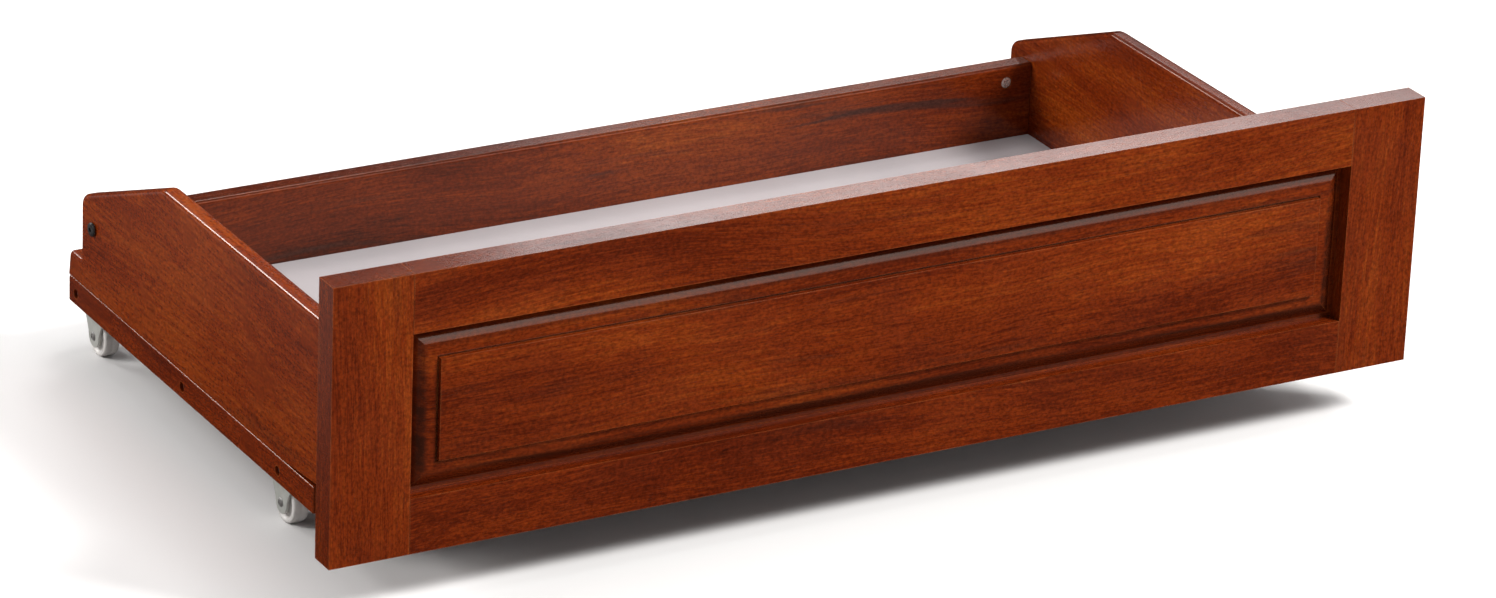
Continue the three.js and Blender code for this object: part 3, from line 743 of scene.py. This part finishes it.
# --------------------------------------------------------------------------
# runners, slats, batten, board: CAD solids with worked edges
# --------------------------------------------------------------------------
def runner(which):
    lo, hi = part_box(which + "_runner_rail")
    q0, q1 = (lo - front_lo) / MM, (hi - front_lo) / MM
    e = 1.3
    out = rounded([(q0.y, q0.z, 1.7, e), (q1.y, q0.z, 1.7, e), (q1.y, q1.z, 2.4, e), (q0.y, q1.z, 1.7, e)], 6)
    o = slab(which + "_runner_worked", out, q0.x, q1.x, 5)
    cutters = []
    for where in ("front", "middle", "rear"):
        slo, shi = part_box(f"{which}_{where}_runner_screw")
        c = (slo + shi) / 2
        x = lo.x - 0.001 if which == "left" else hi.x + 0.001
        cutters.append(rod("c", 4.3, Vector((x, c.y, c.z)), 7.0, "x" if which == "left" else "-x", 32))
    cut(o, cutters)
    return o


for which, seed, tone in (("left", 12.2, -0.06), ("right", 13.5, -0.08)):
    placed(weighted(runner(which)), which + "_runner_rail",
           wood(which + "_runner", "y", seed, tone=tone, streaks=0.3, wear_and_highlight=0.8))
for nm, seed in (("front_cross_slat", 14.1), ("middle_cross_slat", 15.3), ("rear_cross_slat", 16.6), ("front_batten", 17.4)):
    o = node(nm)
    paint(o, wood(nm, "x", seed, tone=-0.12, streaks=0.6, gloss=0.75))
    bevel(o, 0.0010, 2)
o = node("bottom_board")
paint(o, board_white())
bevel(o, 0.0005, 2)

# --------------------------------------------------------------------------
# fasteners
# --------------------------------------------------------------------------
M_dark = metal("black_oxide", (0.035, 0.032, 0.032), (0.085, 0.078, 0.076), (0.24, 0.36), 0.5)
M_zinc = metal("zinc", (0.46, 0.45, 0.44), (0.66, 0.65, 0.63), (0.26, 0.40), 0.7)
M_nickel = metal("nickel_plate", (0.58, 0.57, 0.55), (0.80, 0.79, 0.77), (0.20, 0.32), 0.7)


def hex_cutter(c, af, depth, axis, sign):
    """hexagonal socket, across flats in mm"""
    r = af / math.sqrt(3)
    return lathe("hex", [(0, -2), (r, -2), (r, depth), (0, depth)], c, axis, 6)


def back_bolt(which):
    lo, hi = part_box(which + "_back_bolt")
    c = (lo + hi) / 2
    left = which == "left"
    x = lo.x if left else hi.x
    ax = "x" if left else "-x"
    p = Vector((x, c.y, c.z))
    prof = [(0, 0.1), (3.4, 0.1), (3.9, 0.0), (4.9, 0.12), (5.6, 0.55), (6.05, 1.15), (6.2, 1.7), (6.2, 2.25),
            (6.0, 2.45), (3.2, 2.5), (3.0, 2.9), (3.0, 50.0), (2.2, 51.6), (0, 51.8)]
    o = lathe(which + "_back_bolt_made", prof, p, ax, 40)
    cut(o, [hex_cutter(p, 4.0, 1.9, ax, 1)])
    return o


for which in ("left", "right"):
    placed(back_bolt(which), which + "_back_bolt", M_dark)


def phillips(p, ax, reach, width, depth, lean=0.0):
    """two crossing slots cut into a head whose face is at p"""
    sgn = 1 if ax == "x" else -1
    out = []
    for a in (0, 1):
        h, w = (reach, width) if a == 0 else (width, reach)
        x0, x1 = sorted((p.x - sgn * 0.002, p.x + sgn * depth * MM))
        out.append(block("ph", (x0, p.y - h * MM, p.z - w * MM), (x1, p.y + h * MM, p.z + w * MM)))
    return out


def runner_screw(which, where):
    nm = f"{which}_{where}_runner_screw"
    lo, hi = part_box(nm)
    c = (lo + hi) / 2
    left = which == "left"
    p = Vector((lo.x if left else hi.x, c.y, c.z))
    ax = "x" if left else "-x"
    prof = [(0, 0), (2.6, 0.0), (3.3, 0.2), (3.8, 0.8), (3.85, 1.5), (3.6, 2.0), (1.95, 3.2), (1.95, 52), (0, 55.8)]
    o = lathe(nm + "_made", prof, p, ax, 32)
    cut(o, phillips(p, ax, 2.1, 0.42, 1.3))
    return o


for which in ("left", "right"):
    for where in ("front", "middle", "rear"):
        placed(runner_screw(which, where), f"{which}_{where}_runner_screw", M_dark)


def barrel_nut(which):
    nm = which + "_back_barrel_nut"
    lo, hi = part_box(nm)
    c = (lo + hi) / 2
    p = Vector((c.x, lo.y, c.z))
    prof = [(0, 0), (4.2, 0), (4.7, 0.15), (4.95, 0.5), (4.95, 17.4), (4.4, 17.9), (0, 17.9)]
    o = lathe(nm + "_made", prof, p, "y", 40)
    a = math.radians(38)
    cutters = []
    for t in (a, a + math.pi / 2):
        s = block("slot", (-0.0033, -0.002, -0.00055), (0.0033, 0.0013, 0.00055))
        s.data.transform(Matrix.Translation(p) @ Matrix.Rotation(t, 4, "Y"))
        cutters.append(s)
    cut(o, cutters)
    return o


for which in ("left", "right"):
    placed(barrel_nut(which), which + "_back_barrel_nut", M_nickel)


def cam(which, lvl):
    nm = f"{which}_{lvl}_cam_nut"
    lo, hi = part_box(nm)
    c = (lo + hi) / 2
    left = which == "left"
    p = Vector((hi.x if left else lo.x, c.y, c.z))
    ax = "-x" if left else "x"
    prof = [(0, 0), (5.9, 0), (6.3, 0.15), (6.4, 0.5), (7.3, 0.55), (7.45, 0.8), (7.45, 11.6), (7.0, 12.0), (0, 12.0)]
    o = lathe(nm + "_made", prof, p, ax, 44)
    cut(o, phillips(p, ax, 4.2, 0.7, 1.6))
    return o


for which in ("left", "right"):
    for lvl in ("lower", "upper"):
        placed(cam(which, lvl), f"{which}_{lvl}_cam_nut", M_nickel)
        paint(node(f"{which}_{lvl}_front_stud"), M_zinc)
    for where in ("front", "rear"):
        paint(node(f"{which}_{where}_side_screw"), M_zinc)

# --------------------------------------------------------------------------
# casters
# --------------------------------------------------------------------------
M_bracket = plastic("caster_bracket", (0.40, 0.41, 0.385), (0.50, 0.505, 0.475), (0.30, 0.42), 0.15, 0.0, 0.30)
M_wheel = plastic("caster_wheel", (0.72, 0.70, 0.68), (0.84, 0.82, 0.80), (0.24, 0.36), 0.12, 0.15, 0.28)


def caster(where, which):
    base = f"{where}_{which}_caster"
    left = which == "left"
    sgn = 1.0 if left else -1.0
    wlo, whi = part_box(base + "_wheel")
    wc = (wlo + whi) / 2
    blo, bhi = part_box(base + "_bracket")
    alo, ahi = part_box(base + "_axle")
    R = (whi.z - wlo.z) / 2 / MM
    h = (whi.x - wlo.x) / 2 / MM
    # wheel: rounded tread, raised rim, dished web with a hub
    b = 2.75
    half = [(b, -h + 0.35), (b + 0.35, -h + 0.1), (6.2, -h + 0.1), (6.8, -h + 0.4), (7.2, -h + 1.3), (7.8, -h + 1.7),
            (13.4, -h + 1.7), (14.1, -h + 1.35), (14.6, -h + 0.5), (15.1, -h + 0.08), (15.9, -h), (16.9, -h + 0.12),
            (17.7, -h + 0.55), (18.25, -h + 1.3), (R - 0.04, -h + 2.4), (R, -h + 3.6), (R, -1.2), (R - 0.12, -0.9), (R - 0.12, 0)]
    prof = half + [(r, -a) for r, a in reversed(half[:-1])]
    wheel = lathe(base + "_wheel_moulded", prof, Vector((wc.x, wc.y, wc.z)), "x", 72, 38)
    placed(wheel, base + "_wheel", M_wheel, f"{where}_{which}_wheel")
    # fork: plate with two legs that taper to round ends
    top = (bhi.z - front_lo.z) / MM
    hub = (wc.z - front_lo.z) / MM
    yc = (wc.y - front_lo.y) / MM
    x0 = (blo.x - front_lo.x) / MM
    x1 = (bhi.x - front_lo.x) / MM
    plate_t = 2.2
    # plate with rounded corners (outline in x, y)
    pl = rounded([(x0, yc - 31, 4, 0), (x1, yc - 31, 4, 0), (x1, yc + 31, 4, 0), (x0, yc + 31, 4, 0)], 6)
    verts, faces = [], []
    n = len(pl)
    for z in (top - plate_t, top):
        for p, _ in pl:
            verts.append(D(p.x, p.y, z))
    faces.append(tuple(range(n - 1, -1, -1)))
    faces.append(tuple(range(n, 2 * n)))
    for i in range(n):
        j = (i + 1) % n
        faces.append((i, j, n + j, n + i))
    plate = make(base + "_bracket_made", verts, faces)
    legs = []
    lt = 2.0
    lx = [(x0 + 1.5, x0 + 1.5 + lt), (x1 - 1.5 - lt, x1 - 1.5)]
    for a, c in lx:
        r, wt = 10.0, 18.0
        zt = top - plate_t / 2
        pts = [(Vector((yc - wt, zt)), 0.35), (Vector((yc - wt, zt - 4.5)), 0.35)]
        for i in range(1, 9):                # sweep in to the round end
            t = i / 9
            y = (1 - t) ** 2 * -wt + 2 * t * (1 - t) * -(12.3) + t * t * -r
            z = (1 - t) ** 2 * (zt - 4.5) + 2 * t * (1 - t) * (hub + 9) + t * t * hub
            pts.append((Vector((yc + y, z)), 0.35))
        for i in range(0, 21):
            t = math.pi + math.pi * i / 20
            pts.append((Vector((yc + r * math.cos(t), hub + r * math.sin(t))), 0.35))
        for i in range(8, 0, -1):
            t = i / 9
            y = (1 - t) ** 2 * wt + 2 * t * (1 - t) * 12.3 + t * t * r
            z = (1 - t) ** 2 * (zt - 4.5) + 2 * t * (1 - t) * (hub + 9) + t * t * hub
            pts.append((Vector((yc + y, z)), 0.35))
        pts += [(Vector((yc + wt, zt - 4.5)), 0.35), (Vector((yc + wt, zt)), 0.35)]
        legs.append(slab("leg", pts, a, c, 3))
    join_solid(plate, legs)
    cutters = [rod("c", 2.65, Vector((blo.x - 0.002, wc.y, wc.z)), 28, "x", 28)]
    for s in "ab":
        lo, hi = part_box(f"{where}_{which}_plate_screw_{s}")
        c = (lo + hi) / 2
        cutters.append(rod("c", 2.2, Vector((c.x, c.y, bhi.z - 0.004)), 6, "z", 20))
    cut(plate, cutters)
    placed(plate, base + "_bracket", M_bracket)
    # axle: domed head with a cross recess outside, riveted over inside
    L = (ahi.x - alo.x) / MM
    ax = "x" if left else "-x"
    p = Vector((alo.x if left else ahi.x, wc.y, wc.z))
    prof = [(0, 0.0), (1.2, 0.05), (2.3, 0.35), (3.2, 0.85), (3.85, 1.4), (4.05, 1.62), (2.4, 1.65), (2.4, L - 1.2),
            (3.8, L - 1.18), (3.8, L - 0.35), (3.4, L), (0, L)]
    axle = lathe(base + "_axle_made", prof, p, ax, 36)
    cut(axle, phillips(p, ax, 2.3, 0.45, 1.2))
    placed(axle, base + "_axle", M_zinc)
    for s in "ab":
        paint(node(f"{where}_{which}_plate_screw_{s}"), M_zinc)


for where in ("front", "rear"):
    for which in ("left", "right"):
        caster(where, which)

# --------------------------------------------------------------------------
# studio: pale floor, soft light, camera
# --------------------------------------------------------------------------
scene = bpy.context.scene
scene.view_settings.view_transform = "Standard"
scene.view_settings.look = "None"
scene.view_settings.exposure = 0.0
scene.view_settings.gamma = 1.0

fl = block("studio_floor", (-14, -14, -0.02), (14, 14, 0.0))
k = Tree("studio_floor")
k.b.inputs["Base Color"].default_value = (0.93, 0.93, 0.93, 1)
k.b.inputs["Roughness"].default_value = 0.9
k.b.inputs["Specular IOR Level"].default_value = 0.1
dk = k.n("ShaderNodeBsdfDiffuse")
fx = k.n("ShaderNodeSeparateXYZ")
k.put(fx.inputs[0], k.coords())
k.put(dk.inputs["Color"], k.mix(k.fit(fx.outputs[0], -0.5, -1.3), (0.025, 0.022, 0.022), (0.30, 0.28, 0.28)))
lp = k.n("ShaderNodeLightPath")
md = k.n("ShaderNodeBsdfDiffuse")
md.inputs["Color"].default_value = (0.50, 0.48, 0.47, 1)
m0 = k.n("ShaderNodeMixShader")
k.t.links.new(lp.outputs["Is Camera Ray"], m0.inputs[0])
k.t.links.new(md.outputs[0], m0.inputs[1])
k.t.links.new(k.b.outputs[0], m0.inputs[2])
mx = k.n("ShaderNodeMixShader")
k.t.links.new(lp.outputs["Is Glossy Ray"], mx.inputs[0])
k.t.links.new(m0.outputs[0], mx.inputs[1])
k.t.links.new(dk.outputs[0], mx.inputs[2])
k.t.links.new(mx.outputs[0], k.out.inputs[0])
paint(fl, k.m)

world = bpy.data.worlds.new("studio")
scene.world = world
world.use_nodes = True
nt = world.node_tree
nt.nodes.clear()
wo = nt.nodes.new("ShaderNodeOutputWorld")
bg = nt.nodes.new("ShaderNodeBackground")
nt.links.new(bg.outputs[0], wo.inputs[0])
bg.inputs["Color"].default_value = (1.0, 0.985, 0.975, 1)
world.cycles.sampling_method = "NONE"
wtc = nt.nodes.new("ShaderNodeTexCoord")
wsp = nt.nodes.new("ShaderNodeSeparateXYZ")
nt.links.new(wtc.outputs["Generated"], wsp.inputs[0])
wz = nt.nodes.new("ShaderNodeMapRange")
wz.interpolation_type = "SMOOTHSTEP"
wz.inputs["From Min"].default_value = 0.40
wz.inputs["From Max"].default_value = 0.62
wz.inputs["To Min"].default_value = 0.03
wz.inputs["To Max"].default_value = 0.55
nt.links.new(wsp.outputs[2], wz.inputs["Value"])
wt = nt.nodes.new("ShaderNodeMapRange")
wt.interpolation_type = "SMOOTHSTEP"
wt.inputs["From Min"].default_value = 0.78
wt.inputs["From Max"].default_value = 0.89
wt.inputs["To Min"].default_value = 1.0
wt.inputs["To Max"].default_value = 0.12
nt.links.new(wsp.outputs[2], wt.inputs["Value"])
wx = nt.nodes.new("ShaderNodeMath")
wx.operation = "MULTIPLY"
nt.links.new(wz.outputs[0], wx.inputs[0])
nt.links.new(wt.outputs[0], wx.inputs[1])
wlp = nt.nodes.new("ShaderNodeLightPath")
wm = nt.nodes.new("ShaderNodeMix")
wm.data_type = "FLOAT"
wm.inputs[2].default_value = 0.32
nt.links.new(wlp.outputs["Is Glossy Ray"], wm.inputs[0])
nt.links.new(wx.outputs[0], wm.inputs[3])
nt.links.new(wm.outputs[0], bg.inputs["Strength"])


def area(name, loc, target, size, power, colour=(1, 1, 1), gloss=True):
    d = bpy.data.lights.new(name, "AREA")
    d.shape = "RECTANGLE"
    d.size, d.size_y = size
    d.energy = power
    d.color = colour
    o = bpy.data.objects.new(name, d)
    scene.collection.objects.link(o)
    o.location = loc
    v = Vector(target) - Vector(loc)
    o.rotation_euler = v.to_track_quat("-Z", "Y").to_euler()
    o.visible_glossy = gloss
    return o


area("key", (3.6, -3.6, 5.2), (-0.05, -0.1, 0.1), (2.2, 1.8), 590, (1, 0.985, 0.965), False)
area("left_fill", (-4.2, 1.5, 2.2), (-0.3, 0.0, 0.1), (1.8, 1.4), 125, (1, 0.98, 0.96), False)
area("top", (0.3, 0.2, 3.4), (0.0, 0.0, 0.1), (2.4, 1.6), 30, (1, 0.985, 0.98), False)
area("front_gloss", (2.1, -3.6, 2.5), (0.1, -0.3, 0.2), (2.4, 2.6), 46, (1, 0.99, 0.99)).visible_diffuse = False
area("top_line", (1.0, 1.4, 3.3), (0.0, 0.0, 0.1), (0.9, 0.5), 17, (1, 0.99, 0.98))
area("back_right", (2.95, 3.75, 2.42), (0, -0.29, 0.28), (2.1, 0.62), 15.5, (1, 0.99, 1.0))
area("back_left", (-2.3, 4.3, 2.6), (-0.4, 0, 0.1), (1.2, 0.7), 60, (1, 0.98, 0.98))

# camera
AZ, EL, ROLL = math.radians(30.0312), math.radians(22.9466), math.radians(2.4121)
fwd = Vector((math.sin(AZ) * math.cos(EL), math.cos(AZ) * math.cos(EL), -math.sin(EL)))
right = Vector((math.cos(AZ), -math.sin(AZ), 0))
down = fwd.cross(right)
c, s = math.cos(ROLL), math.sin(ROLL)
rx = right * c - down * s
ry = right * s + down * c
cam_d = bpy.data.cameras.new("camera")
cam_d.sensor_fit = "HORIZONTAL"
cam_d.sensor_width = 36.0
cam_d.lens = 164.156
cam_d.clip_start = 0.1
cam_d.clip_end = 60
cam_o = bpy.data.objects.new("camera", cam_d)
scene.collection.objects.link(cam_o)
rot = Matrix((rx, -ry, -fwd)).transposed()
loc = D(-2142.53, -4344.19, 2292.05)
cam_o.matrix_world = Matrix.Translation(loc) @ rot.to_4x4()
scene.camera = cam_o
